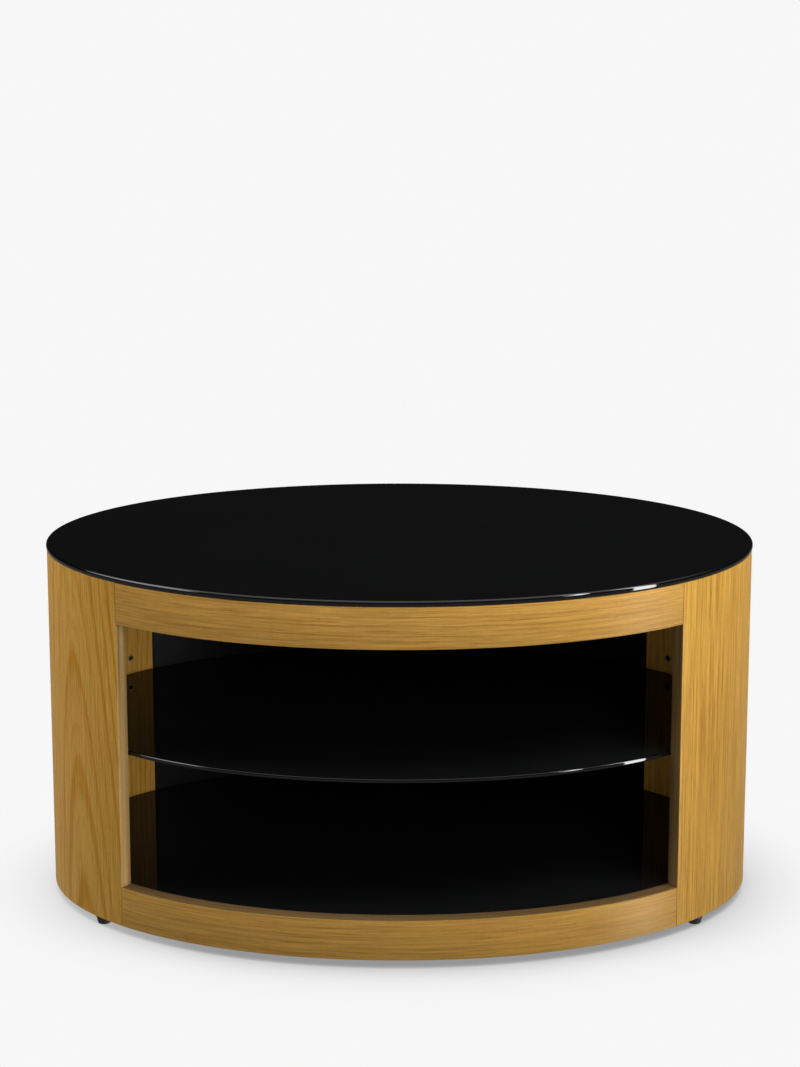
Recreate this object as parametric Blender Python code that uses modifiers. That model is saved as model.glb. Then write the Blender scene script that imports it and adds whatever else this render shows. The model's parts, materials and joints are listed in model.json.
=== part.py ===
"""Oval open television cabinet: bent veneered end panels and rails, black glass
top, shelf and base, curved black back with a cable duct.

Frame: metres, +Z up, origin on the floor under the middle of the oval,
front faces -Y, +X to the right seen from the front."""

import math

import bmesh
import bpy
from mathutils import Matrix, Vector

# ---------------------------------------------------------------- dimensions
A = 0.4985            # half width of the veneered body
B = 0.2997            # half depth of the veneered body
STEPS = 120           # facets of the full oval
WALL = 0.020          # thickness of end panels and rails
FOOT_H = 0.012        # height of the feet
BODY_H = 0.4932       # height of the veneered body
Z0 = FOOT_H           # lower edge of the body
Z1 = FOOT_H + BODY_H  # upper edge of the body
GAP = 0.0003          # gap between touching pieces

T_EDGE = math.radians(39.83)    # oval angle of the end panels' front and rear edges
TOP_RAIL_H = 0.0581
BOTTOM_RAIL_H = 0.0565

TOP_GLASS_T = 0.0078
TOP_GLASS_PROUD = 0.0010        # glass top stands this far proud of the body
PAD_T = 0.0006
SHELF_T = 0.006
SHELF_TOP = Z1 - 0.2453
SHELF_INSET = 0.0215            # from the body's outer face
BASE_GLASS_TOP = Z1 - 0.4395
BASE_GLASS_T = 0.006
TOP_BOARD_T = 0.016
TOP_BOARD_DROP = 0.0009         # top board sits this far below the body's upper edge
BASE_BOARD_T = 0.018
BATTEN = 0.016

BACK_T = 0.006                  # curved back panels and duct panel
DUCT_HALF_W = 0.0713            # seams of the duct panel, on the inner face
CABLE_HOLE_R = 0.0417
CABLE_HOLE_Z = (Z1 - 0.1483, Z1 - 0.3913)
CLEAT_W = 0.014
COVER_T = 0.003
COVER_HALF_W = 0.085
COVER_END = 0.040               # cover stops short of the body's edges by this
COVER_RIB_X = 0.0646            # outer face of the cover's ribs
COVER_RIB_T = 0.003

T_PIN = math.radians(33.7)      # oval angle of the shelf pins
PIN_R = 0.0030                  # support part of the pin
PIN_SHAFT_R = 0.0024
PIN_PITCH = 0.032
PIN_Z = SHELF_TOP - SHELF_T - GAP - PIN_R
SLEEVE_R = 0.0035
SLEEVE_BORE_R = 0.0027
SLEEVE_LEN = 0.010

T_FOOT = math.radians(32.43)
FOOT_OFF = 0.0125
FOOT_R_TOP = 0.0115
FOOT_R_BOTTOM = 0.0085

DOWEL_R = 0.004
DOWEL_LEN = 0.038
T_CAM = math.radians(18.0)
CAM_OFF = 0.0443                # cam centre from the body's outer face
CAM_R = 0.0075

# ---------------------------------------------------------------- clean start
for ob in list(bpy.data.objects):
    bpy.data.objects.remove(ob, do_unlink=True)

parts = bpy.data.collections.new("oval_television_cabinet")
cutters = bpy.data.collections.new("cutters")
bpy.context.scene.collection.children.link(parts)
bpy.context.scene.collection.children.link(cutters)


# ---------------------------------------------------------------- materials
def material(name, rgb, rough, metal=0.0):
    m = bpy.data.materials.new(name)
    m.use_nodes = True
    b = m.node_tree.nodes["Principled BSDF"]
    b.inputs["Base Color"].default_value = (*rgb, 1.0)
    b.inputs["Roughness"].default_value = rough
    b.inputs["Metallic"].default_value = metal
    m.diffuse_color = (*rgb, 1.0)
    return m


VENEER = material("honey_veneer", (0.42, 0.24, 0.075), 0.42)
BLACK_GLASS = material("black_glass", (0.004, 0.004, 0.005), 0.04)
BLACK_BOARD = material("black_board", (0.012, 0.012, 0.013), 0.45)
BLACK_PLASTIC = material("black_plastic", (0.015, 0.015, 0.016), 0.5)
STEEL = material("zinc_steel", (0.55, 0.55, 0.53), 0.35, 1.0)
PAD = material("clear_pad", (0.5, 0.5, 0.48), 0.5)
BEECH = material("beech", (0.55, 0.38, 0.2), 0.6)


# ---------------------------------------------------------------- the oval
def normal(t):
    """Outward normal of the body's oval at oval angle t."""
    return Vector((B * math.cos(t), A * math.sin(t))).normalized()


def at(t, off):
    """Point a distance off inside the body's outer face, square to it."""
    return Vector((A * math.cos(t), B * math.sin(t))) - off * normal(t)


def speed(t):
    return math.hypot(A * math.sin(t), B * math.cos(t))


def sweep(t0, t1):
    """Oval angles from t0 to t1 on the shared grid, with the ends added."""
    step = 2 * math.pi / STEPS
    k0 = math.floor(t0 / step + 0.35) + 1
    k1 = math.ceil(t1 / step - 0.35) - 1
    return [t0] + [k * step for k in range(k0, k1 + 1)] + [t1]


def band(t0, t1, off_out, off_in):
    """Outline of a bent board between two oval angles."""
    ts = sweep(t0, t1)
    return [at(t, off_out) for t in ts] + [at(t, off_in) for t in reversed(ts)]


def oval(off):
    return [at(2 * math.pi * k / STEPS, off) for k in range(STEPS)]


def angle_for_x(x, off):
    """Oval angle in the rear half where the offset oval reaches x."""
    lo, hi = 0.05, math.pi - 0.05
    for _ in range(60):
        mid = (lo + hi) / 2
        if at(mid, off).x > x:
            lo = mid
        else:
            hi = mid
    return (lo + hi) / 2


# ---------------------------------------------------------------- shape tools
def to_parts(ob, mat):
    ob.data.materials.clear()
    ob.data.materials.append(mat)
    parts.objects.link(ob)
    return ob


def smooth(me, degrees=35):
    me.shade_smooth()
    me.set_sharp_from_angle(angle=math.radians(degrees))


def board(name, points, z_low, z_high, mat):
    """A flat outline given its thickness."""
    cu = bpy.data.curves.new(name + "_outline", 'CURVE')
    cu.dimensions = '2D'
    cu.fill_mode = 'BOTH'
    cu.extrude = (z_high - z_low) / 2
    sp = cu.splines.new('POLY')
    sp.points.add(len(points) - 1)
    for p, q in zip(sp.points, points):
        p.co = (q[0], q[1], 0.0, 1.0)
    sp.use_cyclic_u = True
    src = bpy.data.objects.new(name + "_outline", cu)
    bpy.context.scene.collection.objects.link(src)
    src.location.z = (z_low + z_high) / 2
    bpy.context.view_layer.update()
    deps = bpy.context.evaluated_depsgraph_get()
    me = bpy.data.meshes.new_from_object(src.evaluated_get(deps))
    bm = bmesh.new()
    bm.from_mesh(me)
    bmesh.ops.remove_doubles(bm, verts=bm.verts, dist=0.00001)
    bmesh.ops.dissolve_limit(bm, angle_limit=0.001, verts=bm.verts, edges=bm.edges)
    bmesh.ops.recalc_face_normals(bm, faces=bm.faces)
    bm.to_mesh(me)
    bm.free()
    me.name = name
    ob = bpy.data.objects.new(name, me)
    ob.matrix_world = src.matrix_world.copy()
    bpy.data.objects.remove(src, do_unlink=True)
    smooth(me)
    return to_parts(ob, mat)


def round_edges(ob, width, segments, limit=60):
    mod = ob.modifiers.new("rounded_edges", 'BEVEL')
    mod.width = width
    mod.segments = segments
    mod.limit_method = 'ANGLE'
    mod.angle_limit = math.radians(limit)
    return ob


def placed(origin, direction):
    """Matrix whose +Z looks along direction from origin."""
    d = Vector(direction)
    return Matrix.Translation(Vector(origin)) @ d.to_track_quat('Z', 'Y').to_matrix().to_4x4()


def rod(bm, radius, start, end, segments=12):
    start, end = Vector(start), Vector(end)
    bmesh.ops.create_cone(bm, cap_ends=True, cap_tris=False, segments=segments,
                          radius1=radius, radius2=radius, depth=(end - start).length,
                          matrix=placed((start + end) / 2, end - start))


def cut(ob, rods):
    """Drill a list of (radius, start, end, segments) holes in ob."""
    bm = bmesh.new()
    for radius, start, end, seg in rods:
        rod(bm, radius, start, end, seg)
    me = bpy.data.meshes.new(ob.name + "_holes")
    bm.to_mesh(me)
    bm.free()
    cutter = bpy.data.objects.new(ob.name + "_holes", me)
    cutter.hide_render = True
    cutter.display_type = 'WIRE'
    cutters.objects.link(cutter)
    mod = ob.modifiers.new("holes", 'BOOLEAN')
    mod.operation = 'DIFFERENCE'
    mod.solver = 'EXACT'
    mod.object = cutter
    return ob


profile_meshes = {}


def turned(name, key, profile, closed, segments, matrix, mat):
    """A turned piece: profile points are (radius, height), outer side downwards."""
    if key not in profile_meshes:
        me = bpy.data.meshes.new(key)
        n = len(profile)
        edges = [(i, i + 1) for i in range(n - 1)] + ([(n - 1, 0)] if closed else [])
        me.from_pydata([(r, 0.0, z) for r, z in profile], edges, [])
        me.materials.append(mat)
        profile_meshes[key] = me
    ob = bpy.data.objects.new(name, profile_meshes[key])
    mod = ob.modifiers.new("turned", 'SCREW')
    mod.axis = 'Z'
    mod.angle = 2 * math.pi
    mod.steps = segments
    mod.render_steps = segments
    mod.use_merge_vertices = True
    mod.merge_threshold = 0.00001
    mod.use_smooth_shade = True
    ob.matrix_world = matrix
    parts.objects.link(ob)
    return ob


def side(t, right):
    """Oval angle on the right end, or its mirror on the left end."""
    return t if right else math.pi - t


def p3(t, off, z):
    q = at(t, off)
    return Vector((q.x, q.y, z))


def inward(t):
    n = normal(t)
    return Vector((-n.x, -n.y, 0.0))


# ---------------------------------------------------------------- end panels
SIDES = (("left", False), ("right", True))
ENDS = (("front", -1), ("rear", 1))
DOWEL_Z = {"top": (Z1 - 0.042, Z1 - 0.018), "bottom": (Z0 + 0.016, Z0 + 0.041)}
CAM_Z = Z1 - TOP_BOARD_DROP - TOP_BOARD_T / 2

for s_name, right in SIDES:
    if right:
        outline = band(-T_EDGE, T_EDGE, 0.0, WALL)
    else:
        outline = band(math.pi - T_EDGE, math.pi + T_EDGE, 0.0, WALL)
    panel = board("end_panel_" + s_name, outline, Z0, Z1, VENEER)
    holes = []
    for e_name, sign in ENDS:
        t = side(sign * T_PIN, right)
        for k in range(2):
            z = PIN_Z + k * PIN_PITCH
            holes.append((SLEEVE_R + GAP, p3(t, WALL - SLEEVE_LEN - 0.0006, z), p3(t, WALL + 0.004, z), 12))
        t = side(sign * T_FOOT, right)
        holes.append((0.0023, p3(t, FOOT_OFF, Z0 - 0.004), p3(t, FOOT_OFF, Z0 + 0.022), 12))
        t = side(sign * T_CAM, right)
        holes.append((0.0028, p3(t, WALL - 0.0125, CAM_Z), p3(t, WALL + 0.004, CAM_Z), 12))
    t = side(-T_EDGE, right)
    along = Vector((-normal(t).y, normal(t).x, 0.0))
    if (Vector((0, -1, 0)).dot(along)) < 0:
        along = -along                     # from the end panel towards the rails
    for zs in DOWEL_Z.values():
        for z in zs:
            c = p3(t, WALL / 2, z)
            holes.append((DOWEL_R + GAP, c - along * 0.0205, c + along * 0.004, 12))
    cut(panel, holes)

# ---------------------------------------------------------------- front rails
d_edge = GAP / speed(T_EDGE)
for r_name, z_low, z_high in (("top", Z1 - TOP_RAIL_H, Z1), ("bottom", Z0, Z0 + BOTTOM_RAIL_H)):
    rail = board("front_%s_rail" % r_name,
                 band(math.pi + T_EDGE + d_edge, 2 * math.pi - T_EDGE - d_edge, 0.0, WALL),
                 z_low, z_high, VENEER)
    holes = []
    for s_name, right in SIDES:
        t = side(-T_EDGE, right)
        along = Vector((-normal(t).y, normal(t).x, 0.0))
        if (Vector((0, -1, 0)).dot(along)) < 0:
            along = -along
        for z in DOWEL_Z[r_name]:
            c = p3(t, WALL / 2, z)
            holes.append((DOWEL_R + GAP, c - along * 0.004, c + along * 0.0205, 12))
    cut(rail, holes)

# ---------------------------------------------------------------- dowels
half = DOWEL_LEN / 2
dowel_profile = [(0.0, half), (DOWEL_R - 0.0008, half), (DOWEL_R, half - 0.0012),
                 (DOWEL_R, -half + 0.0012), (DOWEL_R - 0.0008, -half), (0.0, -half)]
for r_name, zs in DOWEL_Z.items():
    for s_name, right in SIDES:
        t = side(-T_EDGE, right)
        along = Vector((-normal(t).y, normal(t).x, 0.0))
        for k, z in enumerate(zs):
            turned("dowel_%s_rail_%s_%d" % (r_name, s_name, k + 1), "dowel", dowel_profile, False, 12,
                   placed(p3(t, WALL / 2, z), along), BEECH)

# ---------------------------------------------------------------- boards and glass
top_board = board("top_board", oval(WALL + GAP), Z1 - TOP_BOARD_DROP - TOP_BOARD_T, Z1 - TOP_BOARD_DROP, BLACK_BOARD)
cam_low = Z1 - TOP_BOARD_DROP - TOP_BOARD_T
holes = []
for s_name, right in SIDES:
    for e_name, sign in ENDS:
        t = side(sign * T_CAM, right)
        holes.append((0.0040, p3(t, WALL - 0.004, CAM_Z), p3(t, CAM_OFF, CAM_Z), 12))
        holes.append((CAM_R + GAP, p3(t, CAM_OFF, cam_low - 0.004), p3(t, CAM_OFF, cam_low + 0.0126), 16))
# the two kinds of hole meet, so they are drilled one after the other
cut(top_board, holes[0::2])
cut(top_board, holes[1::2])

board("base_board", oval(WALL + GAP), BASE_GLASS_TOP - BASE_GLASS_T - GAP - BASE_BOARD_T,
      BASE_GLASS_TOP - BASE_GLASS_T - GAP, BLACK_BOARD)
board("base_glass", oval(SHELF_INSET), BASE_GLASS_TOP - BASE_GLASS_T, BASE_GLASS_TOP, BLACK_GLASS)

shelf = board("shelf_glass", oval(SHELF_INSET), SHELF_TOP - SHELF_T, SHELF_TOP, BLACK_GLASS)
round_edges(shelf, 0.0012, 2)

glass_low = Z1 + GAP
top_glass = board("top_glass", oval(-TOP_GLASS_PROUD), glass_low, glass_low + TOP_GLASS_T, BLACK_GLASS)
round_edges(top_glass, 0.0028, 3)

z_batten = BASE_GLASS_TOP - BASE_GLASS_T - GAP - BASE_BOARD_T - GAP
for s_name, right in SIDES:
    mid = 0.0 if right else math.pi
    board("base_batten_" + s_name, band(mid - math.radians(36), mid + math.radians(36), WALL + GAP, WALL + GAP + BATTEN),
          z_batten - BATTEN, z_batten, BEECH)

# ---------------------------------------------------------------- glass pads
pad_low = Z1 - TOP_BOARD_DROP + GAP
for s_name, sx in (("left", -1), ("right", 1)):
    for e_name, sy in ENDS:
        bm = bmesh.new()
        rod(bm, 0.010, (sx * 0.340, sy * 0.145, pad_low), (sx * 0.340, sy * 0.145, pad_low + PAD_T), 20)
        me = bpy.data.meshes.new("glass_pad")
        bm.to_mesh(me)
        bm.free()
        smooth(me)
        to_parts(bpy.data.objects.new("glass_pad_%s_%s" % (e_name, s_name), me), PAD)

# ---------------------------------------------------------------- back
t_seam = angle_for_x(DUCT_HALF_W, WALL)
d_seam = GAP / speed(t_seam)
back_low, back_high = Z0, Z1
for s_name, right in SIDES:
    a0, a1 = T_EDGE + d_edge, t_seam - d_seam
    outline = band(a0, a1, WALL - BACK_T, WALL) if right else band(math.pi - a1, math.pi - a0, WALL - BACK_T, WALL)
    board("back_panel_" + s_name, outline, back_low, back_high, BLACK_BOARD)
    # strip in the corner between back panel and end panel, outside the cabinet
    w = 0.016 / speed(T_EDGE)
    outline = (band(a0, a0 + w, 0.0033, WALL - BACK_T - GAP) if right
               else band(math.pi - a0 - w, math.pi - a0, 0.0033, WALL - BACK_T - GAP))
    board("back_cleat_" + s_name, outline, Z0 + 0.004, Z1 - 0.004, BLACK_BOARD)
    # strip behind the duct panel's seam
    c0 = angle_for_x(0.0660, 0.0)
    c1 = angle_for_x(0.0660 + CLEAT_W, 0.0)
    outline = (band(c1, c0, COVER_T + GAP, WALL - BACK_T - GAP) if right
               else band(math.pi - c0, math.pi - c1, COVER_T + GAP, WALL - BACK_T - GAP))
    board("duct_cleat_" + s_name, outline, Z0 + 0.004, Z1 - 0.004, BLACK_BOARD)

duct = board("duct_panel", band(t_seam, math.pi - t_seam, WALL - BACK_T, WALL), back_low, back_high, BLACK_BOARD)
cut(duct, [(CABLE_HOLE_R, (0.0, B - 0.060, z), (0.0, B + 0.020, z), 40) for z in CABLE_HOLE_Z])

# ---------------------------------------------------------------- duct cover
c_out = angle_for_x(COVER_HALF_W, 0.0)
outer = [at(t, 0.0) for t in sweep(c_out, math.pi - c_out)]
t_rib_o = angle_for_x(COVER_RIB_X, COVER_T)
t_rib_i = angle_for_x(COVER_RIB_X - COVER_RIB_T, COVER_T)
y_rib = at(angle_for_x(COVER_RIB_X, 0.0115), 0.0115).y
left_flank = [at(t, COVER_T) for t in sweep(math.pi - t_rib_o, math.pi - c_out)]
right_flank = [at(t, COVER_T) for t in sweep(c_out, t_rib_o)]
middle = [at(t, COVER_T) for t in sweep(t_rib_i, math.pi - t_rib_i)]
outline = list(outer) + list(reversed(left_flank))
outline += [Vector((-COVER_RIB_X, y_rib)), Vector((-COVER_RIB_X + COVER_RIB_T, y_rib))]
outline += list(reversed(middle))
outline += [Vector((COVER_RIB_X - COVER_RIB_T, y_rib)), Vector((COVER_RIB_X, y_rib))]
outline += list(reversed(right_flank))
board("duct_cover", outline, Z0 + COVER_END, Z1 - COVER_END, BLACK_PLASTIC)

# ---------------------------------------------------------------- shelf sleeves and pins
sleeve_profile = [(0.0045, 0.0009), (0.0045, 0.0003), (SLEEVE_R, 0.0003), (SLEEVE_R, -SLEEVE_LEN),
                  (SLEEVE_BORE_R, -SLEEVE_LEN), (SLEEVE_BORE_R, 0.0009)]
pin_profile = [(0.0, 0.0135), (PIN_R - 0.0008, 0.0135), (PIN_R, 0.0127), (PIN_R, 0.0012),
               (PIN_SHAFT_R, 0.0012), (PIN_SHAFT_R, -0.0080), (PIN_SHAFT_R - 0.0006, -0.0088), (0.0, -0.0088)]
for s_name, right in SIDES:
    for e_name, sign in ENDS:
        t = side(sign * T_PIN, right)
        for k, level in enumerate(("lower", "upper")):
            turned("shelf_sleeve_%s_%s_%s" % (e_name, s_name, level), "shelf_sleeve", sleeve_profile, True, 12,
                   placed(p3(t, WALL, PIN_Z + k * PIN_PITCH), inward(t)), STEEL)
        turned("shelf_pin_%s_%s" % (e_name, s_name), "shelf_pin", pin_profile, False, 12,
               placed(p3(t, WALL, PIN_Z), inward(t)), STEEL)

# ---------------------------------------------------------------- cam fittings
bolt_profile = [(0.0, 0.0240), (0.0031, 0.0240), (0.0031, 0.0205), (0.0018, 0.0205), (0.0018, 0.0165),
                (0.0025, 0.0160), (0.0025, -0.0105), (0.0012, -0.0120), (0.0, -0.0120)]
for s_name, right in SIDES:
    for e_name, sign in ENDS:
        t = side(sign * T_CAM, right)
        turned("cam_bolt_%s_%s" % (e_name, s_name), "cam_bolt", bolt_profile, False, 12,
               placed(p3(t, WALL, CAM_Z), inward(t)), STEEL)
        bm = bmesh.new()
        rod(bm, CAM_R, p3(t, CAM_OFF, cam_low + 0.0002), p3(t, CAM_OFF, cam_low + 0.0122), 20)
        me = bpy.data.meshes.new("cam_lock_%s_%s" % (e_name, s_name))
        bm.to_mesh(me)
        bm.free()
        smooth(me)
        cam = to_parts(bpy.data.objects.new("cam_lock_%s_%s" % (e_name, s_name), me), STEEL)
        cut(cam, [(0.0039, p3(t, CAM_OFF - 0.012, CAM_Z), p3(t, CAM_OFF + 0.0015, CAM_Z), 12)])

# ---------------------------------------------------------------- feet
foot_top = FOOT_H - GAP
foot_profile = [(FOOT_R_TOP, foot_top), (FOOT_R_TOP, foot_top - 0.002), (FOOT_R_BOTTOM + 0.0006, 0.0008),
                (FOOT_R_BOTTOM - 0.0004, 0.0), (0.0050, 0.0), (0.0050, 0.0050), (0.0023, 0.0050),
                (0.0023, foot_top)]
screw_profile = [(0.0, Z0 + 0.0205), (0.0019, Z0 + 0.0170), (0.0019, 0.0047), (0.0040, 0.0047),
                 (0.0040, 0.0028), (0.0030, 0.0018), (0.0, 0.0018)]
for s_name, right in SIDES:
    for e_name, sign in ENDS:
        t = side(sign * T_FOOT, right)
        base = Matrix.Translation(p3(t, FOOT_OFF, 0.0))
        turned("foot_%s_%s" % (e_name, s_name), "foot", foot_profile, True, 24, base, BLACK_PLASTIC)
        turned("foot_screw_%s_%s" % (e_name, s_name), "foot_screw", screw_profile, False, 12, base, STEEL)
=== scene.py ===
"""Looks of the oval television cabinet: veneer, black glass, painted board."""

import json
import math

import bmesh
import bpy
from mathutils import Matrix, Vector


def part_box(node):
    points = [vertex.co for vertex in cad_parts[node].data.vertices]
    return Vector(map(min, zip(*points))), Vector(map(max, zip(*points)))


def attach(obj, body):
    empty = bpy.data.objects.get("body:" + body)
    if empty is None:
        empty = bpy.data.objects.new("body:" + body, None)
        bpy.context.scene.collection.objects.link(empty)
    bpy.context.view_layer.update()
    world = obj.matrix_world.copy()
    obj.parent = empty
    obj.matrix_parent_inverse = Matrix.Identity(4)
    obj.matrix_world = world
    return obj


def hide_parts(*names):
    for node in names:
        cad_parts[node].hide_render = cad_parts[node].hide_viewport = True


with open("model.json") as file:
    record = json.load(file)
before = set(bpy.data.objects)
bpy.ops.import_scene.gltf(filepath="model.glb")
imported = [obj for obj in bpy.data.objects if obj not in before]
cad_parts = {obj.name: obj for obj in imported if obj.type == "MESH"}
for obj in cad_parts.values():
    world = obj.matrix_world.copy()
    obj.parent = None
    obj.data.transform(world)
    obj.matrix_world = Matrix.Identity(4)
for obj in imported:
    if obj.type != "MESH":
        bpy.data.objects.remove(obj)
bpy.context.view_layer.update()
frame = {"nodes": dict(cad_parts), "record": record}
NODES = frame["nodes"]

# ------------------------------------------------------------------ studio settings
FLOOR_TONE, FLOOR_DARK = 0.932, 0.30
AMBIENT, BACKDROP = 0.010, 0.932
REFL_DARK, REFL_FLOOR, REFL_CEILING = 0.014, 0.22, 1.1
# azimuth from-to, elevation from-to, edge softness in azimuth and elevation, level, bow
PANELS = ((55.0, 63.3, -40.0, 58.0, 0.4, 3.0, 16.0, 0.0060),
          (33.3, 38.1, 20.0, 66.0, 0.4, 2.0, 17.0, 0.0070),
          (-96.0, -41.5, 26.0, 62.0, 1.0, 3.0, 3.8, -0.0090))
# azimuth, elevation, distance, level at the body, side of the square
KEY = (60, 55, 2.3, 0.925, 1.1)
# name, azimuth (0 in front, 90 at the right), elevation, level, apparent width
SUNS = (("rear_left", -140, 25, 0.100, 30), ("side_left_rear", -110, 25, 0.680, 30), ("side_left", -85, 25, 0.260, 30),
        ("low_front_left", -30, 3, 0.085, 25), ("front", 18, 25, 0.305, 30), ("rear_right", 145, 25, 0.410, 30),
        ("low_front_right", 50, 3, 0.365, 25))

# ------------------------------------------------------------------ dimensions (metres)
A, B = 0.4985, 0.2997
WALL = 0.020
Z0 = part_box("end_panel_left")[0].z
Z1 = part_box("end_panel_left")[1].z
GAP = 0.0003
T_EDGE = math.radians(39.83)
T_PIN = math.radians(33.7)
T_FOOT = math.radians(32.43)
FOOT_OFF = 0.0125


def normal(t):
    return Vector((B * math.cos(t), A * math.sin(t))).normalized()


def at(t, off):
    return Vector((A * math.cos(t), B * math.sin(t))) - off * normal(t)


def speed(t):
    return math.hypot(A * math.sin(t), B * math.cos(t))


def p3(t, off, z):
    q = at(t, off)
    return Vector((q.x, q.y, z))


def side(t, right):
    return t if right else math.pi - t


def inward(t):
    n = normal(t)
    return Vector((-n.x, -n.y, 0.0))


# arc length along the outer face, from the +X end, as a table
ARC_N = 7200
ARC = [0.0]
for _i in range(ARC_N):
    ARC.append(ARC[-1] + speed(2 * math.pi * (_i + 0.5) / ARC_N) * 2 * math.pi / ARC_N)


def arc(t):
    turns = math.floor(t / (2 * math.pi))
    f = (t - turns * 2 * math.pi) / (2 * math.pi) * ARC_N
    i = min(int(f), ARC_N - 1)
    return ARC[i] + (ARC[i + 1] - ARC[i]) * (f - i) + turns * ARC[-1]


def wall_coords(x, y, t_mid):
    """Oval angle and depth below the outer face of a point in the wall."""
    t = math.atan2(y / B, x / A)
    for _ in range(8):
        px, py = A * math.cos(t), B * math.sin(t)
        dx, dy = -A * math.sin(t), B * math.cos(t)
        s = math.hypot(dx, dy)
        t += ((x - px) * dx + (y - py) * dy) / (s * s) * 0.8
    while t < t_mid - math.pi:
        t += 2 * math.pi
    while t > t_mid + math.pi:
        t -= 2 * math.pi
    n = normal(t)
    off = (A * math.cos(t) - x) * n.x + (B * math.sin(t) - y) * n.y
    return t, off


# ------------------------------------------------------------------ node helpers
class Shader:
    """Short-hand for building node materials."""

    def __init__(self, name):
        self.m = bpy.data.materials.new(name)
        self.m.use_nodes = True
        self.tree = self.m.node_tree
        self.bsdf = self.tree.nodes["Principled BSDF"]

    def node(self, kind, **props):
        n = self.tree.nodes.new(kind)
        for k, v in props.items():
            setattr(n, k, v)
        return n

    def link(self, a, b):
        self.tree.links.new(a, b)

    def put(self, sock, v):
        if isinstance(v, bpy.types.NodeSocket):
            self.link(v, sock)
        else:
            sock.default_value = v

    def math(self, op, a, b=0.0, c=0.0, clamp=False):
        n = self.node("ShaderNodeMath", operation=op, use_clamp=clamp)
        for s, v in zip(n.inputs, (a, b, c)):
            self.put(s, v)
        return n.outputs[0]

    def add(self, a, b): return self.math('ADD', a, b)
    def sub(self, a, b): return self.math('SUBTRACT', a, b)
    def mul(self, a, b): return self.math('MULTIPLY', a, b)
    def div(self, a, b): return self.math('DIVIDE', a, b)

    def smooth(self, x, lo, hi, out_lo=0.0, out_hi=1.0):
        n = self.node("ShaderNodeMapRange", interpolation_type='SMOOTHSTEP')
        self.put(n.inputs["Value"], x)
        n.inputs["From Min"].default_value = lo
        n.inputs["From Max"].default_value = hi
        n.inputs["To Min"].default_value = out_lo
        n.inputs["To Max"].default_value = out_hi
        return n.outputs["Result"]

    def xyz(self, x, y, z=0.0):
        n = self.node("ShaderNodeCombineXYZ")
        for s, v in zip(n.inputs, (x, y, z)):
            self.put(s, v)
        return n.outputs[0]

    def noise(self, vec, detail=2.0, rough=0.5, scale=1.0, distortion=0.0):
        n = self.node("ShaderNodeTexNoise", noise_dimensions='3D')
        self.link(vec, n.inputs["Vector"])
        n.inputs["Scale"].default_value = scale
        n.inputs["Detail"].default_value = detail
        n.inputs["Roughness"].default_value = rough
        n.inputs["Distortion"].default_value = distortion
        return n.outputs["Fac"]

    def mix(self, fac, a, b, mode='MIX'):
        n = self.node("ShaderNodeMix", data_type='RGBA', blend_type=mode)
        self.put(n.inputs[0], fac)
        for s, v in ((n.inputs[6], a), (n.inputs[7], b)):
            self.put(s, v if isinstance(v, bpy.types.NodeSocket) else (*v, 1.0))
        return n.outputs[2]

    def object_xyz(self):
        tc = self.node("ShaderNodeTexCoord")
        return tc.outputs["Object"]

    def bump(self, height, strength, distance):
        n = self.node("ShaderNodeBump")
        n.inputs["Strength"].default_value = strength
        n.inputs["Distance"].default_value = distance
        self.link(height, n.inputs["Height"])
        self.link(n.outputs[0], self.bsdf.inputs["Normal"])

    def set(self, **kw):
        names = {"color": "Base Color", "rough": "Roughness", "metal": "Metallic", "ior": "IOR",
                 "coat": "Coat Weight", "coat_rough": "Coat Roughness", "spec": "Specular IOR Level",
                 "trans": "Transmission Weight", "sheen": "Sheen Weight"}
        for k, v in kw.items():
            s = self.bsdf.inputs[names[k]]
            if k == "color" and not isinstance(v, bpy.types.NodeSocket):
                v = (*v, 1.0)
            self.put(s, v)


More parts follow.
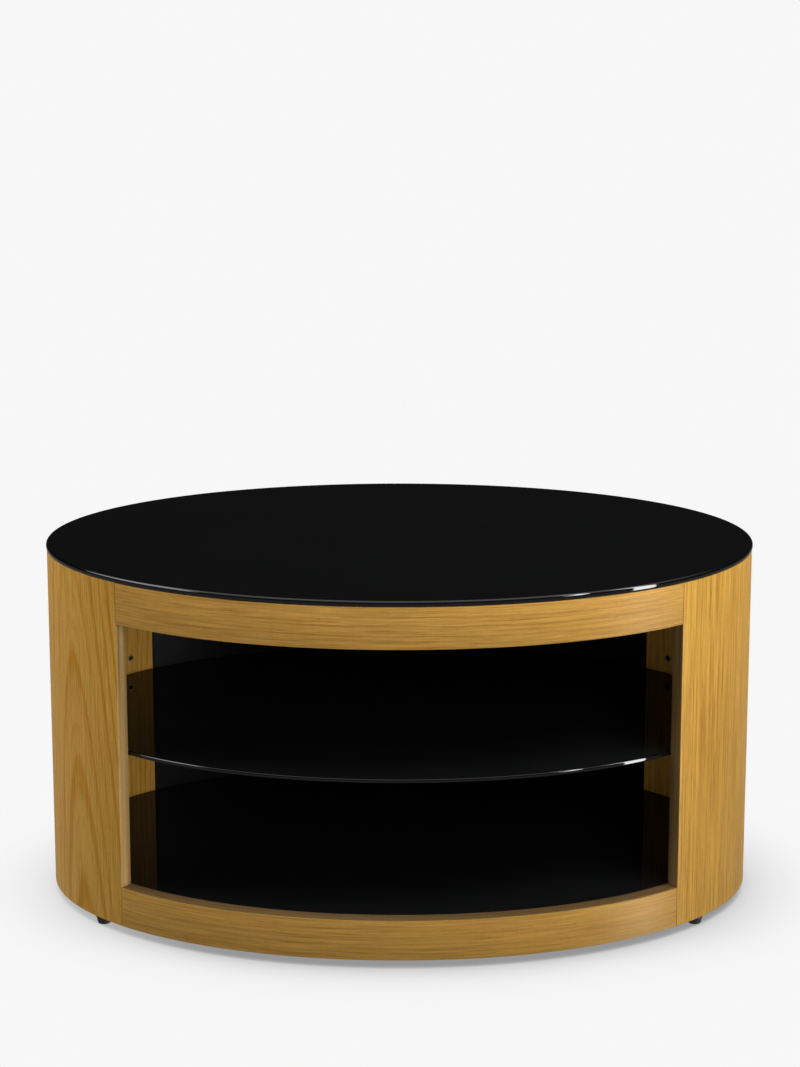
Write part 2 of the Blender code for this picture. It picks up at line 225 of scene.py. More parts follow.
def veneer(name, along, centre, depth, slope, spacing, light, dark, late_amount=0.75,
           warp=0.006, seed=0.0, fine=0.35, zero=0.0, streak=0.34, lean=0.0, mid_amount=0.8,
           mid_scale=(230.0, 4.0), broad_amount=0.22):
    """Lacquered veneer. The figure is the cut of growth rings by the sheet: across is the
    distance from the ring centre line, depth + slope*along the depth of the pith."""
    s = Shader(name)
    attr = s.node("ShaderNodeAttribute", attribute_name="grain", attribute_type='GEOMETRY')
    sep = s.node("ShaderNodeSeparateXYZ")
    s.link(attr.outputs["Vector"], sep.inputs[0])
    run, height, below = sep.outputs
    a, l = (run, height) if along == "z" else (height, run)
    w1 = s.noise(s.xyz(s.mul(a, 9.0), s.mul(l, 3.0), seed), 1.5)
    w2 = s.noise(s.xyz(s.mul(a, 30.0), s.mul(l, 7.0), seed + 5.3), 2.0)
    w3 = s.noise(s.xyz(s.mul(a, 5.0), s.mul(l, 2.2), seed + 9.1), 1.0)
    wob = s.add(s.mul(s.sub(w1, 0.5), warp * 2), s.mul(s.sub(w2, 0.5), warp * 0.55))
    across = s.add(s.sub(s.sub(a, centre), s.mul(s.sub(l, zero), lean)), wob)
    deep = s.add(s.add(s.mul(s.sub(l, zero), slope), depth), s.mul(s.sub(w3, 0.5), warp * 1.2))
    r = s.math('SQRT', s.add(s.mul(across, across), s.mul(deep, deep)))
    r = s.add(r, s.mul(below, 0.7))
    phase = s.div(r, spacing)
    saw = s.math('FRACT', phase)
    late = s.mul(s.smooth(saw, 0.44, 0.80), s.smooth(saw, 0.80, 1.0, 1.0, 0.0))
    ring_id = s.math('FLOOR', phase)
    wn = s.node("ShaderNodeTexWhiteNoise", noise_dimensions='1D')
    s.link(ring_id, wn.inputs["W"])
    ring_gain = s.add(s.mul(wn.outputs["Value"], 0.75), 0.45)
    late = s.mul(late, ring_gain)
    # finer rings between the strong ones
    saw2 = s.math('FRACT', s.mul(phase, 3.37))
    late2 = s.mul(s.smooth(saw2, 0.35, 0.85), s.smooth(saw2, 0.88, 1.0, 1.0, 0.0))
    # figure fades in and out over the sheet
    patch = s.noise(s.xyz(s.mul(a, 14.0), s.mul(l, 4.0), seed + 2.2), 2.0)
    late = s.mul(late, s.smooth(patch, 0.25, 0.62, 0.45, 1.0))
    late2 = s.mul(late2, s.smooth(patch, 0.35, 0.65, 1.0, 0.35))
    # fibres and pores run with the grain
    fib = s.noise(s.xyz(s.mul(a, 420.0), s.mul(l, 7.0), s.mul(below, 300.0)), 3.0, 0.6)
    fib2 = s.noise(s.xyz(s.mul(a, 1300.0), s.mul(l, 24.0), s.add(s.mul(below, 900.0), 3.0)), 2.0, 0.55)
    por = s.noise(s.xyz(s.mul(a, 2300.0), s.mul(l, 110.0), s.add(s.mul(below, 2000.0), 7.0)), 1.0)
    pores = s.mul(s.smooth(por, 0.62, 0.72), s.smooth(late, 0.0, 0.5, 1.0, 0.35))
    broad = s.noise(s.xyz(s.mul(a, 16.0), s.mul(l, 2.0), seed + 4.4), 2.0)
    bent = s.add(a, s.mul(s.sub(w2, 0.5), 0.004))
    mid = s.noise(s.xyz(s.mul(bent, mid_scale[0]), s.mul(l, mid_scale[1]), seed + 6.6), 2.0, 0.62)
    fleck = s.noise(s.xyz(s.mul(a, 380.0), s.mul(l, 60.0), seed + 8.8), 1.0)
    tone = s.add(s.mul(s.sub(fib, 0.5), streak * 2), s.mul(s.sub(fib2, 0.5), streak * 1.3))
    tone = s.add(tone, s.mul(s.sub(broad, 0.5), broad_amount))
    tone = s.add(tone, s.mul(s.sub(mid, 0.5), mid_amount))
    tone = s.add(tone, s.mul(s.sub(fleck, 0.5), 0.42))
    amount = s.add(s.mul(late, late_amount), s.mul(late2, fine * late_amount))
    amount = s.math('ADD', amount, s.mul(tone, 0.55), clamp=True)
    col = s.mix(amount, light, dark)
    gain = s.add(s.sub(1.0, s.mul(pores, 0.30)), s.mul(tone, -0.35))
    grey = s.node("ShaderNodeCombineColor")
    for i in range(3):
        s.link(gain, grey.inputs[i])
    col = s.mix(1.0, col, grey.outputs[0], 'MULTIPLY')
    rough = s.add(s.add(0.36, s.mul(fib, 0.10)), s.mul(pores, 0.20))
    s.set(color=col, rough=rough, coat=0.07, coat_rough=0.25, spec=0.26)
    h = s.sub(s.add(s.mul(fib, 0.35), s.mul(fib2, 0.25)), s.mul(pores, 0.8))
    s.bump(h, 0.22, 0.0002)
    return s.m


def edge_band(name, light, dark, along="z", inner=1.0):
    """Thin wood strip glued to a cut edge: fine straight fibres, no figure."""
    s = Shader(name)
    attr = s.node("ShaderNodeAttribute", attribute_name="grain", attribute_type='GEOMETRY')
    sep = s.node("ShaderNodeSeparateXYZ")
    s.link(attr.outputs["Vector"], sep.inputs[0])
    run, height, below = sep.outputs
    l = height if along == "z" else run
    a = below
    fib = s.noise(s.xyz(s.mul(a, 700.0), s.mul(l, 9.0), s.mul(run, 3.0)), 3.0, 0.6)
    wide = s.noise(s.xyz(s.mul(a, 160.0), s.mul(l, 3.0), 1.7), 2.0)
    por = s.noise(s.xyz(s.mul(a, 2400.0), s.mul(l, 120.0), 4.0), 1.0)
    pores = s.smooth(por, 0.60, 0.72)
    k = s.math('ADD', s.mul(fib, 0.75), s.mul(s.sub(wide, 0.5), 2.4), clamp=True)
    col = s.mix(k, light, dark)
    col = s.mix(s.mul(pores, 0.35), col, tuple(c * 0.5 for c in dark))
    # painted shade: the strip darkens towards the edge inside the body, down to the inner factor, standing in for the
    # shade there
    tone = s.smooth(below, 0.0120, 0.0150, 1.0, inner)
    grey = s.node("ShaderNodeCombineColor")
    for i in range(3):
        s.link(tone, grey.inputs[i])
    col = s.mix(1.0, col, grey.outputs[0], 'MULTIPLY')
    s.set(color=col, rough=s.add(0.40, s.mul(fib, 0.12)), coat=0.15, coat_rough=0.25, spec=0.4)
    s.bump(s.sub(fib, s.mul(pores, 0.6)), 0.2, 0.0002)
    return s.m


def black_glass(name, gloss=0.5, painted_lift=1.0):
    """Opaque black glass: polished, with the faintest wipe marks in the gloss."""
    s = Shader(name)
    pos = s.object_xyz()
    big = s.noise(pos, 3.0, 0.55, scale=7.0, distortion=0.6)
    small = s.noise(pos, 2.0, 0.6, scale=160.0)
    marks = s.mul(s.mul(s.smooth(big, 0.45, 0.75), small), 0.45)
    rough = s.add(0.018, s.mul(marks, 0.05))
    # painted light: the lift factor above 1 brightens the black base colour to stand in for light
    col = s.mix(marks, tuple(painted_lift * c for c in (0.0022, 0.0023, 0.0024)), tuple(painted_lift * c for c in (0.0036, 0.0037, 0.0038)))
    s.set(color=col, rough=rough, ior=1.52, coat=0.0, spec=gloss)
    return s.m


def painted_board(name, col=(0.0035, 0.0035, 0.0037), rough=0.52):
    """Black painted fibreboard: slight orange-peel and dust in the gloss."""
    s = Shader(name)
    pos = s.object_xyz()
    peel = s.noise(pos, 2.0, 0.5, scale=420.0)
    mott = s.noise(pos, 3.0, 0.6, scale=14.0)
    speck = s.noise(pos, 1.0, 0.5, scale=1500.0)
    c = s.mix(s.smooth(mott, 0.3, 0.7), col, tuple(v * 1.5 + 0.001 for v in col))
    c = s.mix(s.mul(s.smooth(speck, 0.70, 0.78), 0.25), c, (0.025, 0.025, 0.026))
    s.set(color=c, rough=s.add(rough - 0.05, s.mul(mott, 0.14)), spec=0.22)
    s.bump(s.add(peel, s.mul(speck, 0.2)), 0.25, 0.0002)
    return s.m


def moulded_plastic(name, col=(0.012, 0.012, 0.013), rough=0.48):
    s = Shader(name)
    pos = s.object_xyz()
    tex = s.noise(pos, 2.0, 0.6, scale=2600.0)
    mott = s.noise(pos, 2.0, 0.5, scale=60.0)
    c = s.mix(mott, col, tuple(v * 1.6 + 0.002 for v in col))
    s.set(color=c, rough=s.add(rough - 0.06, s.mul(tex, 0.16)), spec=0.5)
    s.bump(tex, 0.35, 0.0001)
    return s.m


def plated_steel(name, col=(0.56, 0.56, 0.54)):
    s = Shader(name)
    pos = s.object_xyz()
    mott = s.noise(pos, 3.0, 0.6, scale=240.0)
    brush = s.noise(pos, 2.0, 0.6, scale=1800.0)
    c = s.mix(mott, tuple(v * 0.72 for v in col), col)
    s.set(color=c, rough=s.add(0.22, s.mul(mott, 0.22)), metal=1.0)
    s.bump(brush, 0.15, 0.00005)
    return s.m


def beech(name):
    s = Shader(name)
    sep = s.node("ShaderNodeSeparateXYZ")
    s.link(s.object_xyz(), sep.inputs[0])
    x, y, z = sep.outputs
    fib = s.noise(s.xyz(s.mul(x, 40.0), s.mul(y, 40.0), s.mul(z, 700.0)), 3.0, 0.6)
    fleck = s.noise(s.xyz(s.mul(x, 260.0), s.mul(y, 260.0), s.mul(z, 2600.0)), 1.0)
    c = s.mix(fib, (0.58, 0.40, 0.235), (0.42, 0.26, 0.135))
    c = s.mix(s.mul(s.smooth(fleck, 0.6, 0.72), 0.5), c, (0.30, 0.17, 0.085))
    s.set(color=c, rough=s.add(0.55, s.mul(fib, 0.15)))
    s.bump(fib, 0.3, 0.0002)
    return s.m


def soft_pad(name):
    s = Shader(name)
    pos = s.object_xyz()
    mott = s.noise(pos, 2.0, 0.5, scale=500.0)
    c = s.mix(mott, (0.46, 0.46, 0.45), (0.58, 0.58, 0.57))
    s.set(color=c, rough=s.add(0.35, s.mul(mott, 0.2)), spec=0.5)
    s.bump(mott, 0.2, 0.0001)
    return s.m


# ------------------------------------------------------------------ figure of the veneer sheets
LIGHT = (0.500, 0.276, 0.052)
DARK = (0.435, 0.188, 0.0165)
RAIL_LIGHT = (0.500, 0.277, 0.061)
RAIL_DARK = (0.425, 0.200, 0.028)
# painted shade: the bottom rail takes the top rail's colours darkened to 80%, standing in for the dimmer light near
# the floor
LOW_SHADED_LIGHT = tuple(0.80 * c for c in RAIL_LIGHT)
LOW_SHADED_DARK = tuple(0.80 * c for c in RAIL_DARK)
S_LEFT = arc(math.pi)
M_LEFT = veneer("veneer_left", "z", centre=S_LEFT + 0.1385, depth=0.1066, slope=0.05625, spacing=0.0090,
                light=LIGHT, dark=(0.405, 0.182, 0.0120), zero=Z1 - 0.1217, seed=1.0, lean=-0.05, late_amount=1.12,
                warp=0.006, mid_amount=1.0, streak=0.85)
M_RIGHT = veneer("veneer_right", "z", centre=arc(-T_EDGE) - 0.035, depth=0.060, slope=0.012, spacing=0.0054,
                 light=LIGHT, dark=DARK, zero=0.30, seed=31.0, late_amount=0.42, warp=0.004, fine=0.6, mid_amount=2.5, streak=1.35, mid_scale=(330.0, 6.0), broad_amount=0.06)
M_TOP = veneer("veneer_top_rail", "s", centre=Z1 - 0.110, depth=0.040, slope=0.006, spacing=0.0058,
               light=RAIL_LIGHT, dark=(0.370, 0.165, 0.024), zero=arc(1.5 * math.pi), seed=55.0, late_amount=0.50,
               warp=0.004, fine=0.5, mid_amount=1.3, streak=1.00, mid_scale=(340.0, 12.0), broad_amount=0.0)
M_BOTTOM = veneer("veneer_bottom_rail", "s", centre=Z0 - 0.050, depth=0.045, slope=0.006, spacing=0.0042,
                  light=LOW_SHADED_LIGHT, dark=LOW_SHADED_DARK, zero=arc(1.5 * math.pi), seed=77.0, late_amount=0.27, warp=0.004,
                  mid_amount=1.6, streak=1.05, mid_scale=(340.0, 10.0), broad_amount=0.0)
# painted shade: inner factor 0.70 darkens this band towards the inside of the body
M_BAND = edge_band("edge_band_upright", (0.50, 0.318, 0.118), (0.22, 0.122, 0.036), "z", 0.70)
# painted shade: the right upright's edge band is a darker copy of the left one, standing in for the shade on that side
M_BAND_RIGHT_SHADED = edge_band("edge_band_upright_right_shaded", (0.300, 0.185, 0.068), (0.150, 0.084, 0.026), "z", 0.85)
# painted shade: the rail edge bands are coloured far darker than the veneer, standing in for the shade under the top
# of the body
M_BAND_RAIL_SHADED = edge_band("edge_band_rail_shaded", (0.150, 0.092, 0.036), (0.095, 0.052, 0.018), "s")
M_GLASS = black_glass("black_glass")
M_GLASS_EDGE = black_glass("black_glass_edge", 0.55)
# painted light: the shelf and base glass take the black glass colour lifted 2.6 times, standing in for light that does
# not reach them
M_GLASS_INNER_LIT = black_glass("black_glass_inner_lit", 0.11, 2.6)
M_BOARD = painted_board("black_board")
M_PLASTIC = moulded_plastic("black_plastic")
M_STEEL = plated_steel("plated_steel")
M_BEECH = beech("beech")
M_PAD = soft_pad("clear_pad")
SLOT_MATERIAL = {"oak_veneer": M_RIGHT, "black_glass": M_GLASS, "black_board": M_BOARD,
                 "black_plastic": M_PLASTIC, "zinc_steel": M_STEEL, "beech": M_BEECH, "clear_pad": M_PAD}

for sub in frame["record"]["subparts"]:
    ob = NODES[sub["node"]]
    ob.data.materials.clear()
    ob.data.materials.append(SLOT_MATERIAL[sub["material_slot"]])


# ------------------------------------------------------------------ mesh helpers
def finish_piece(ob, node, body):
    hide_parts(node)
    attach(ob, body)
    return ob


def applied(ob):
    """Turns the object's modifiers into its mesh."""
    bpy.context.view_layer.update()
    deps = bpy.context.evaluated_depsgraph_get()
    me = bpy.data.meshes.new_from_object(ob.evaluated_get(deps))
    old = ob.data
    ob.modifiers.clear()
    ob.data = me
    bpy.data.meshes.remove(old)
    return ob


def new_object(name, bm, mats):
    me = bpy.data.meshes.new(name)
    bm.to_mesh(me)
    bm.free()
    for m in mats:
        me.materials.append(m)
    ob = bpy.data.objects.new(name, me)
    bpy.context.scene.collection.objects.link(ob)
    return ob


def bent_board(name, t0, t1, off_out, off_in, z_low, z_high, mats, step=0.75, bevel=0.0006, rods=(), face_slot=None):
    """A board bent along the oval, its long edges eased, drilled where rods say."""
    n = max(4, int(math.degrees(t1 - t0) / step))
    bm = bmesh.new()
    rings = []
    for i in range(n + 1):
        t = t0 + (t1 - t0) * i / n
        rings.append([bm.verts.new(p3(t, o, z)) for o, z in
                      ((off_out, z_low), (off_out, z_high), (off_in, z_high), (off_in, z_low))])
    for i in range(n):
        a, b = rings[i], rings[i + 1]
        for k in range(4):
            f = bm.faces.new((a[k], a[(k + 1) % 4], b[(k + 1) % 4], b[k]))
            f.material_index = (face_slot or {}).get(("outer", "top", "inner", "bottom")[k], 0)
    e0 = bm.faces.new(list(reversed(rings[0])))
    e1 = bm.faces.new(rings[-1])
    e0.material_index = e1.material_index = (face_slot or {}).get("ends", 0)
    bmesh.ops.recalc_face_normals(bm, faces=bm.faces)
    ob = new_object(name, bm, mats)
    if bevel:
        bv = ob.modifiers.new("eased", 'BEVEL')
        bv.width = bevel
        bv.segments = 3
        bv.limit_method = 'ANGLE'
        bv.angle_limit = math.radians(50)
    cutter = None
    if rods:
        bm = bmesh.new()
        for radius, start, end in rods:
            d = Vector(end) - Vector(start)
            bmesh.ops.create_cone(bm, cap_ends=True, segments=40, radius1=radius, radius2=radius, depth=d.length,
                                  matrix=Matrix.Translation((Vector(start) + Vector(end)) / 2)
                                  @ d.to_track_quat('Z', 'Y').to_matrix().to_4x4())
        cutter = new_object(name + "_cutter", bm, mats[:1])
        bo = ob.modifiers.new("holes", 'BOOLEAN')
        bo.object = cutter
        bo.solver = 'EXACT'
    applied(ob)
    if cutter:
        bpy.data.objects.remove(cutter, do_unlink=True)
    me = ob.data
    t_mid = (t0 + t1) / 2
    att = me.attributes.new("grain", 'FLOAT_VECTOR', 'POINT')
    for v in me.vertices:
        t, off = wall_coords(v.co.x, v.co.y, t_mid)
        att.data[v.index].vector = (arc(t), v.co.z, off)
    me.shade_smooth()
    me.set_sharp_from_angle(angle=math.radians(38))
    return ob


def oval_plate(name, off, z_low, z_high, mats, radius=0.0, steps=6, n=480):
    """Oval plate with a rounded edge."""
    bm = bmesh.new()
    h = z_high - z_low
    radius = min(radius, h / 2)
    prof = [(radius + 0.004, z_low), (radius, z_low)]
    prof += [(radius - radius * math.sin(a), z_low + radius - radius * math.cos(a))
             for a in [math.pi / 2 * k / steps for k in range(1, steps + 1)]]
    if h > 2 * radius + 1e-6:
        prof += [(0.0, z_low + h / 2)]
    prof += [(radius - radius * math.cos(a), z_high - radius + radius * math.sin(a))
             for a in [math.pi / 2 * k / steps for k in range(0, steps)]]
    prof += [(radius, z_high), (radius + 0.004, z_high)]
    clean = [prof[0]]
    for q in prof[1:]:
        if math.hypot(q[0] - clean[-1][0], q[1] - clean[-1][1]) > 1e-6:
            clean.append(q)
    rings = []
    for inset, z in clean:
        rings.append([bm.verts.new(p3(2 * math.pi * k / n, off + inset, z)) for k in range(n)])
    for j, (a, b) in enumerate(zip(rings, rings[1:])):
        for k in range(n):
            f = bm.faces.new((a[k], a[(k + 1) % n], b[(k + 1) % n], b[k]))
            f.material_index = 1 if 0 < j < len(rings) - 2 else 0
    bm.faces.new(list(reversed(rings[0])))
    bm.faces.new(rings[-1])
    bmesh.ops.recalc_face_normals(bm, faces=bm.faces)
    ob = new_object(name, bm, mats)
    ob.data.shade_smooth()
    ob.data.set_sharp_from_angle(angle=math.radians(50))
    return ob


def lathe(name, profile, matrix, mat, n=48, closed=False):
    """Turned piece from (radius, height) points, placed by matrix."""
    bm = bmesh.new()
    rings = []
    for r, z in profile:
        if r < 1e-7:
            rings.append([bm.verts.new((0, 0, z))])
        else:
            rings.append([bm.verts.new((r * math.cos(2 * math.pi * k / n), r * math.sin(2 * math.pi * k / n), z))
                          for k in range(n)])
    pairs = list(zip(rings, rings[1:])) + ([(rings[-1], rings[0])] if closed else [])
    for a, b in pairs:
        for k in range(n):
            j = (k + 1) % n
            if len(a) == 1 and len(b) == 1:
                continue
            if len(a) == 1:
                bm.faces.new((a[0], b[k], b[j]))
            elif len(b) == 1:
                bm.faces.new((a[k], a[j], b[0]))
            else:
                bm.faces.new((a[k], a[j], b[j], b[k]))
    bmesh.ops.recalc_face_normals(bm, faces=bm.faces)
    bmesh.ops.transform(bm, matrix=matrix, verts=bm.verts)
    ob = new_object(name, bm, [mat])
    ob.data.shade_smooth()
    ob.data.set_sharp_from_angle(angle=math.radians(32))
    return ob


def placed(origin, direction):
    return Matrix.Translation(Vector(origin)) @ Vector(direction).to_track_quat('Z', 'Y').to_matrix().to_4x4()


# ------------------------------------------------------------------ veneered body
PIN_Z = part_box("shelf_glass")[0].z - GAP - 0.0030
PIN_PITCH = 0.032
CAM_Z = Z1 - 0.0089
T_CAM = math.radians(18.0)
for s_name, right in (("left", False), ("right", True)):
    rods = []
    for sign in (-1, 1):
        t = side(sign * T_PIN, right)
        for k in range(2):
            z = PIN_Z + k * PIN_PITCH
            rods.append((0.0038, p3(t, WALL - 0.0106, z), p3(t, WALL + 0.004, z)))
        t = side(sign * T_FOOT, right)
        rods.append((0.0023, p3(t, FOOT_OFF, Z0 - 0.004), p3(t, FOOT_OFF, Z0 + 0.022)))
        t = side(sign * T_CAM, right)
        rods.append((0.0028, p3(t, WALL - 0.0125, CAM_Z), p3(t, WALL + 0.004, CAM_Z)))
    t = side(-T_EDGE, right)
    along = Vector((-normal(t).y, normal(t).x, 0.0))
    if along.y > 0:
        along = -along
    for z in (Z1 - 0.042, Z1 - 0.018, Z0 + 0.016, Z0 + 0.041):
        c = p3(t, WALL / 2, z)
        rods.append((0.0043, c - along * 0.0205, c + along * 0.004))
    mid = 0.0 if right else math.pi
    ob = bent_board("panel_" + s_name, mid - T_EDGE, mid + T_EDGE, 0.0, WALL, Z0, Z1,
                    [M_RIGHT if right else M_LEFT, M_BAND_RIGHT_SHADED if right else M_BAND], rods=rods, face_slot={"ends": 1, "top": 1, "bottom": 1})
    finish_piece(ob, "end_panel_" + s_name, "root")

d_edge = GAP / speed(T_EDGE)
for r_name, m, node in (("top", M_TOP, "front_top_rail"), ("bottom", M_BOTTOM, "front_bottom_rail")):
    lo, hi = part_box(node)
    ob = bent_board("rail_" + r_name, math.pi + T_EDGE + d_edge, 2 * math.pi - T_EDGE - d_edge, 0.0, WALL, lo.z, hi.z,
                    [m, M_BAND_RAIL_SHADED], face_slot={"ends": 1, "top": 1, "bottom": 1})
    finish_piece(ob, node, "root")

# ------------------------------------------------------------------ glass
for node, body, off, radius in (("top_glass", "top_glass", -0.0010, 0.0034), ("shelf_glass", "shelf", 0.0215, 0.0024),
                                ("base_glass", "root", 0.0215, 0.0008)):
    lo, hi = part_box(node)
    ob = oval_plate(node + "_plate", off, lo.z, hi.z, [M_GLASS if node == "top_glass" else M_GLASS_INNER_LIT, M_GLASS_EDGE], radius, steps=8)
    finish_piece(ob, node, body)

# ------------------------------------------------------------------ black boards of the body
def angle_for_x(x, off):
    lo, hi = 0.05, math.pi - 0.05
    for _ in range(60):
        mid = (lo + hi) / 2
        if at(mid, off).x > x:
            lo = mid
        else:
            hi = mid
    return (lo + hi) / 2


t_seam = angle_for_x(0.0713, WALL)
d_seam = GAP / speed(t_seam)
for s_name, right in (("left", False), ("right", True)):
    a0, a1 = T_EDGE + d_edge, t_seam - d_seam
    if not right:
        a0, a1 = math.pi - a1, math.pi - a0
    ob = bent_board("back_" + s_name, a0, a1, WALL - 0.006, WALL, Z0, Z1, [M_BOARD], bevel=0.0004)
    finish_piece(ob, "back_panel_" + s_name, "root")
hole_z = (Z1 - 0.1483, Z1 - 0.3913)
ob = bent_board("duct_front", t_seam, math.pi - t_seam, WALL - 0.006, WALL, Z0, Z1, [M_BOARD], bevel=0.0004,
                rods=[(0.0417, (0, B - 0.060, z), (0, B + 0.020, z)) for z in hole_z])
finish_piece(ob, "duct_panel", "root")

# ------------------------------------------------------------------ feet, pins, sleeves
foot_top = Z0 - GAP
foot_profile = [(0.0112, foot_top), (0.0115, foot_top - 0.0004), (0.0115, foot_top - 0.0020), (0.0110, foot_top - 0.0028),
                (0.0092, 0.0012), (0.0088, 0.0004), (0.0081, 0.0), (0.0050, 0.0), (0.0050, 0.0050), (0.0023, 0.0050),
                (0.0023, foot_top)]
sleeve_profile = [(0.0042, 0.0009), (0.0045, 0.0007), (0.0045, 0.0003), (0.0035, 0.0003), (0.0035, -0.0100),
                  (0.0027, -0.0100), (0.0027, 0.0007), (0.0029, 0.0009)]
pin_profile = [(0.0, 0.0135), (0.0020, 0.0135), (0.0026, 0.0132), (0.0030, 0.0126), (0.0030, 0.0015), (0.0027, 0.0012),
               (0.0024, 0.0012), (0.0024, -0.0080), (0.0018, -0.0088), (0.0, -0.0088)]
for s_name, right in (("left", False), ("right", True)):
    for e_name, sign in (("front", -1), ("rear", 1)):
        tag = e_name + "_" + s_name
        t = side(sign * T_FOOT, right)
        ob = lathe("glide_" + tag, foot_profile, Matrix.Translation(p3(t, FOOT_OFF, 0.0)), M_PLASTIC, 64, closed=True)
        finish_piece(ob, "foot_" + tag, "root")
        t = side(sign * T_PIN, right)
        for k, level in enumerate(("lower", "upper")):
            ob = lathe("sleeve_%s_%s" % (tag, level), sleeve_profile,
                       placed(p3(t, WALL, PIN_Z + k * PIN_PITCH), inward(t)), M_STEEL, 40, closed=True)
            finish_piece(ob, "shelf_sleeve_%s_%s" % (tag, level), "root")
        ob = lathe("support_pin_" + tag, pin_profile, placed(p3(t, WALL, PIN_Z), inward(t)), M_STEEL, 40)
        finish_piece(ob, "shelf_pin_" + tag, "shelf_pin_" + tag)

# ------------------------------------------------------------------ floor, light, camera
# white floor: its own even tone, darkened only where the body keeps the light out
bm = bmesh.new()
bmesh.ops.create_circle(bm, cap_ends=True, segments=96, radius=40.0)
floor = new_object("studio_floor", bm, [])
fs = Shader("studio_floor")
tree = fs.tree
ao = fs.node("ShaderNodeAmbientOcclusion", samples=12)
ao.inputs["Distance"].default_value = 0.17
sep = fs.node("ShaderNodeSeparateXYZ")
fs.link(fs.object_xyz(), sep.inputs[0])
wide = fs.smooth(ao.outputs["AO"], 0.25, 1.0)
shade = fs.mul(fs.sub(1.0, fs.math('POWER', wide, 0.60)), fs.smooth(sep.outputs[0], -0.55, -0.20, 0.68, 1.0))
lit = fs.sub(FLOOR_TONE, fs.mul(shade, FLOOR_TONE - FLOOR_DARK))
em = fs.node("ShaderNodeEmission")
fs.link(lit, em.inputs["Strength"])
em.inputs["Color"].default_value = (1.0, 1.0, 1.0, 1.0)
tree.nodes.remove(fs.bsdf)
fs.link(em.outputs[0], tree.nodes["Material Output"].inputs["Surface"])
floor.data.materials.append(fs.m)
floor.visible_glossy = False
floor.visible_diffuse = False
floor.visible_transmission = False
floor.visible_shadow = False

world = bpy.data.worlds.new("studio")
bpy.context.scene.world = world
world.use_nodes = True
wt = world.node_tree
wt.nodes.clear()


def wnode(kind, **props):
    n = wt.nodes.new(kind)
    for k, v in props.items():
        setattr(n, k, v)
    return n


def wput(sock, v):
    if isinstance(v, bpy.types.NodeSocket):
        wt.links.new(v, sock)
    else:
        sock.default_value = v


def wmath(op, a, b=0.0, c=0.0):
    n = wnode("ShaderNodeMath", operation=op)
    for q, v in zip(n.inputs, (a, b, c)):
        wput(q, v)
    return n.outputs[0]


def wsmooth(x, lo, hi, out_lo=0.0, out_hi=1.0):
    n = wnode("ShaderNodeMapRange", interpolation_type='SMOOTHSTEP')
    wput(n.inputs["Value"], x)
    for k, v in (("From Min", lo), ("From Max", hi), ("To Min", out_lo), ("To Max", out_hi)):
        n.inputs[k].default_value = v
    return n.outputs["Result"]


direction = wnode("ShaderNodeTexCoord").outputs["Generated"]
wsep = wnode("ShaderNodeSeparateXYZ")
wt.links.new(direction, wsep.inputs[0])
wx, wy, wz = wsep.outputs
azimuth = wmath('MULTIPLY', wmath('ARCTAN2', wx, wmath('MULTIPLY', wy, -1.0)), 180.0 / math.pi)
elevation = wmath('MULTIPLY', wmath('ARCSINE', wz), 180.0 / math.pi)


def window(az0, az1, el0, el1, soft_az, soft_el, level, bow):
    """A soft-edged light panel seen only in reflections."""
    across = wmath('SUBTRACT', azimuth, wmath('MULTIPLY', wmath('MULTIPLY', elevation, elevation), bow))
    u = wmath('MULTIPLY', wsmooth(across, az0 - soft_az, az0 + soft_az), wsmooth(across, az1 - soft_az, az1 + soft_az, 1.0, 0.0))
    v = wmath('MULTIPLY', wsmooth(elevation, el0 - soft_el, el0 + soft_el), wsmooth(elevation, el1 - soft_el, el1 + soft_el, 1.0, 0.0))
    return wmath('MULTIPLY', wmath('MULTIPLY', u, v), level)


# reflected surroundings: dark behind, pale floor in front, ceiling glow, light panels
glow = wmath('MULTIPLY', wsmooth(elevation, 34.0, 62.0), REFL_CEILING)
ground = wmath('MULTIPLY', wsmooth(elevation, -10.0, -2.0, 1.0, 0.0), REFL_FLOOR)
total = wmath('ADD', wmath('ADD', glow, ground), REFL_DARK)
for panel in PANELS:
    total = wmath('ADD', total, window(*panel))
out = wnode("ShaderNodeOutputWorld")
lp = wnode("ShaderNodeLightPath")
m1, m2 = wnode("ShaderNodeMixShader"), wnode("ShaderNodeMixShader")
bgs = []
for strength in (AMBIENT, total, BACKDROP):
    b = wnode("ShaderNodeBackground")
    b.inputs[0].default_value = (1.0, 1.0, 1.0, 1.0)
    wput(b.inputs[1], strength)
    bgs.append(b)
wt.links.new(lp.outputs["Is Glossy Ray"], m1.inputs[0])
wt.links.new(bgs[0].outputs[0], m1.inputs[1])
wt.links.new(bgs[1].outputs[0], m1.inputs[2])
wt.links.new(lp.outputs["Is Camera Ray"], m2.inputs[0])
wt.links.new(m1.outputs[0], m2.inputs[1])
wt.links.new(bgs[2].outputs[0], m2.inputs[2])
wt.links.new(m2.outputs[0], out.inputs[0])


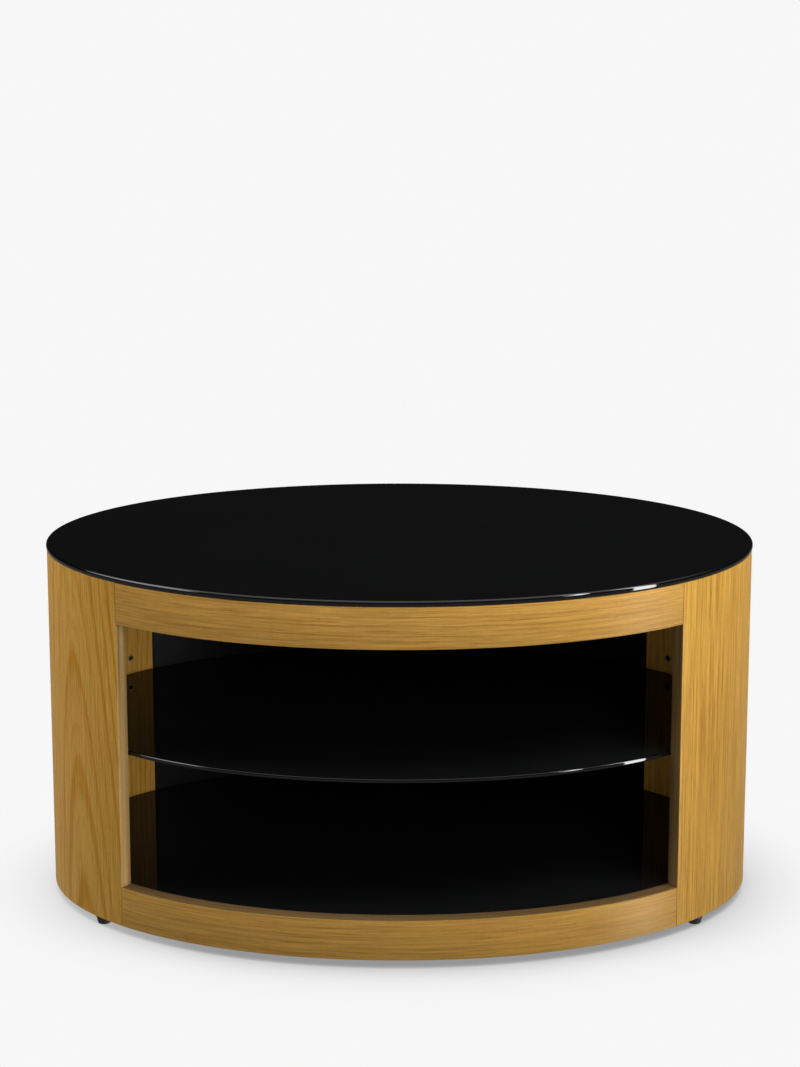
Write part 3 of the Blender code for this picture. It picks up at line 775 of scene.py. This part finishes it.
def sun(name, azimuth, elevation, strength, angle, colour=(1, 1, 1), glossy=False):
    """azimuth 0 is in front, +90 at the right side."""
    li = bpy.data.lights.new(name, 'SUN')
    li.energy = strength
    li.angle = math.radians(angle)
    li.color = colour
    ob = bpy.data.objects.new(name, li)
    a, e = math.radians(azimuth), math.radians(elevation)
    to_light = Vector((math.sin(a) * math.cos(e), -math.cos(a) * math.cos(e), math.sin(e)))
    ob.rotation_euler = to_light.to_track_quat('Z', 'Y').to_euler()
    ob.visible_glossy = glossy
    bpy.context.scene.collection.objects.link(ob)
    return ob


for l_name, az, el, level, width in SUNS:
    sun(l_name, az, el, level * math.pi, width)

k_az, k_el = math.radians(KEY[0]), math.radians(KEY[1])
k_dir = Vector((math.sin(k_az) * math.cos(k_el), -math.cos(k_az) * math.cos(k_el), math.sin(k_el)))
key = bpy.data.lights.new("key", 'AREA')
key.shape = 'SQUARE'
key.size = KEY[4]
key.energy = (math.pi * KEY[2]) ** 2 * KEY[3]
key_ob = bpy.data.objects.new("key", key)
key_ob.location = Vector((0.12, -0.10, 0.36)) + KEY[2] * k_dir
key_ob.rotation_euler = k_dir.to_track_quat('Z', 'Y').to_euler()
key_ob.visible_glossy = False
key_ob.visible_camera = False
bpy.context.scene.collection.objects.link(key_ob)

F, CX, CY, DIST, CAM_H, TILT = 2520.88, 399.4, 317.9, 3.4470, 1.0022, 0.1939
cam_data = bpy.data.cameras.new("camera")
cam = bpy.data.objects.new("camera", cam_data)
bpy.context.scene.collection.objects.link(cam)
cam_data.sensor_width = 36.0
cam_data.sensor_fit = 'AUTO'
cam_data.lens = F * 36.0 / 1067.0
cam_data.shift_x = (400.0 - CX) / 1067.0
cam_data.shift_y = -(533.5 - CY) / 1067.0
cam_data.clip_end = 200.0
cam.location = (0.0, -DIST, CAM_H + Z1)
cam.rotation_euler = (math.pi / 2 - TILT, 0.0, 0.0)
bpy.context.scene.camera = cam

sc = bpy.context.scene
sc.view_settings.view_transform = 'Standard'
sc.view_settings.look = 'None'

bpy.context.view_layer.update()
